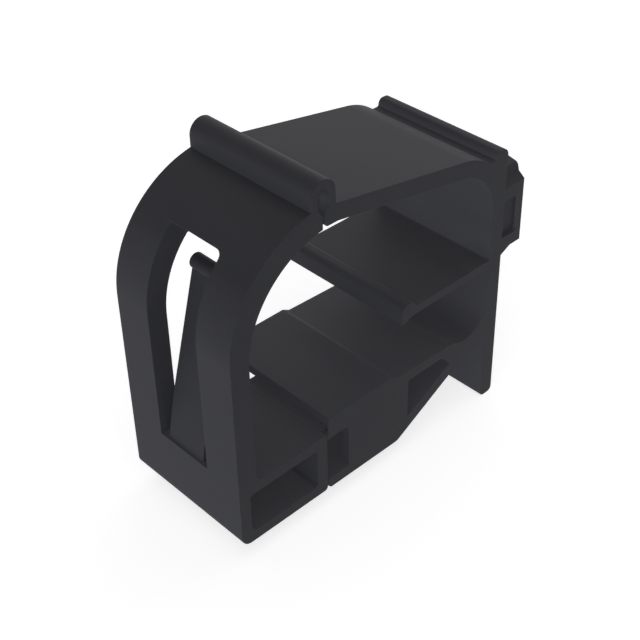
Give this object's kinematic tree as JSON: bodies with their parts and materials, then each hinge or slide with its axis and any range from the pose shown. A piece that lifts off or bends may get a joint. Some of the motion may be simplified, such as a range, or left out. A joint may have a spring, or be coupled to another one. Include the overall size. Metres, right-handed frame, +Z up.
{
  "type": "wiring harness clip",
  "caption": "Moulded harness clip: a gate on a living hinge closes two stacked cable channels over a hollow block, with a mounting foot on the outer wall.",
  "frame": {"origin": "centre of the clip's width and depth, level with the tip of the flange", "axes": "+X from the gate to the mounting foot, +Y from the front (the closed end of the latch block) to the back, along the cables, +Z up towards the hinge"},
  "size_m": [0.0432, 0.0176, 0.0417],
  "materials": {
    "nylon": "satin moulded nylon, black"
  },
  "bodies": {
    "body": {"clip_body": "nylon", "hinge_loop": "nylon"},
    "gate": {"gate": "nylon"}
  },
  "joints": [
    {"name": "gate_hinge", "type": "hinge", "parent": "body", "child": "gate", "pos_m": [-0.00924, 0, 0.04129], "axis": [0, 1, 0], "range_deg": [0, 70], "stiffness_Nm_per_rad": 0.1, "deforming": ["hinge_loop"]}
  ]
}
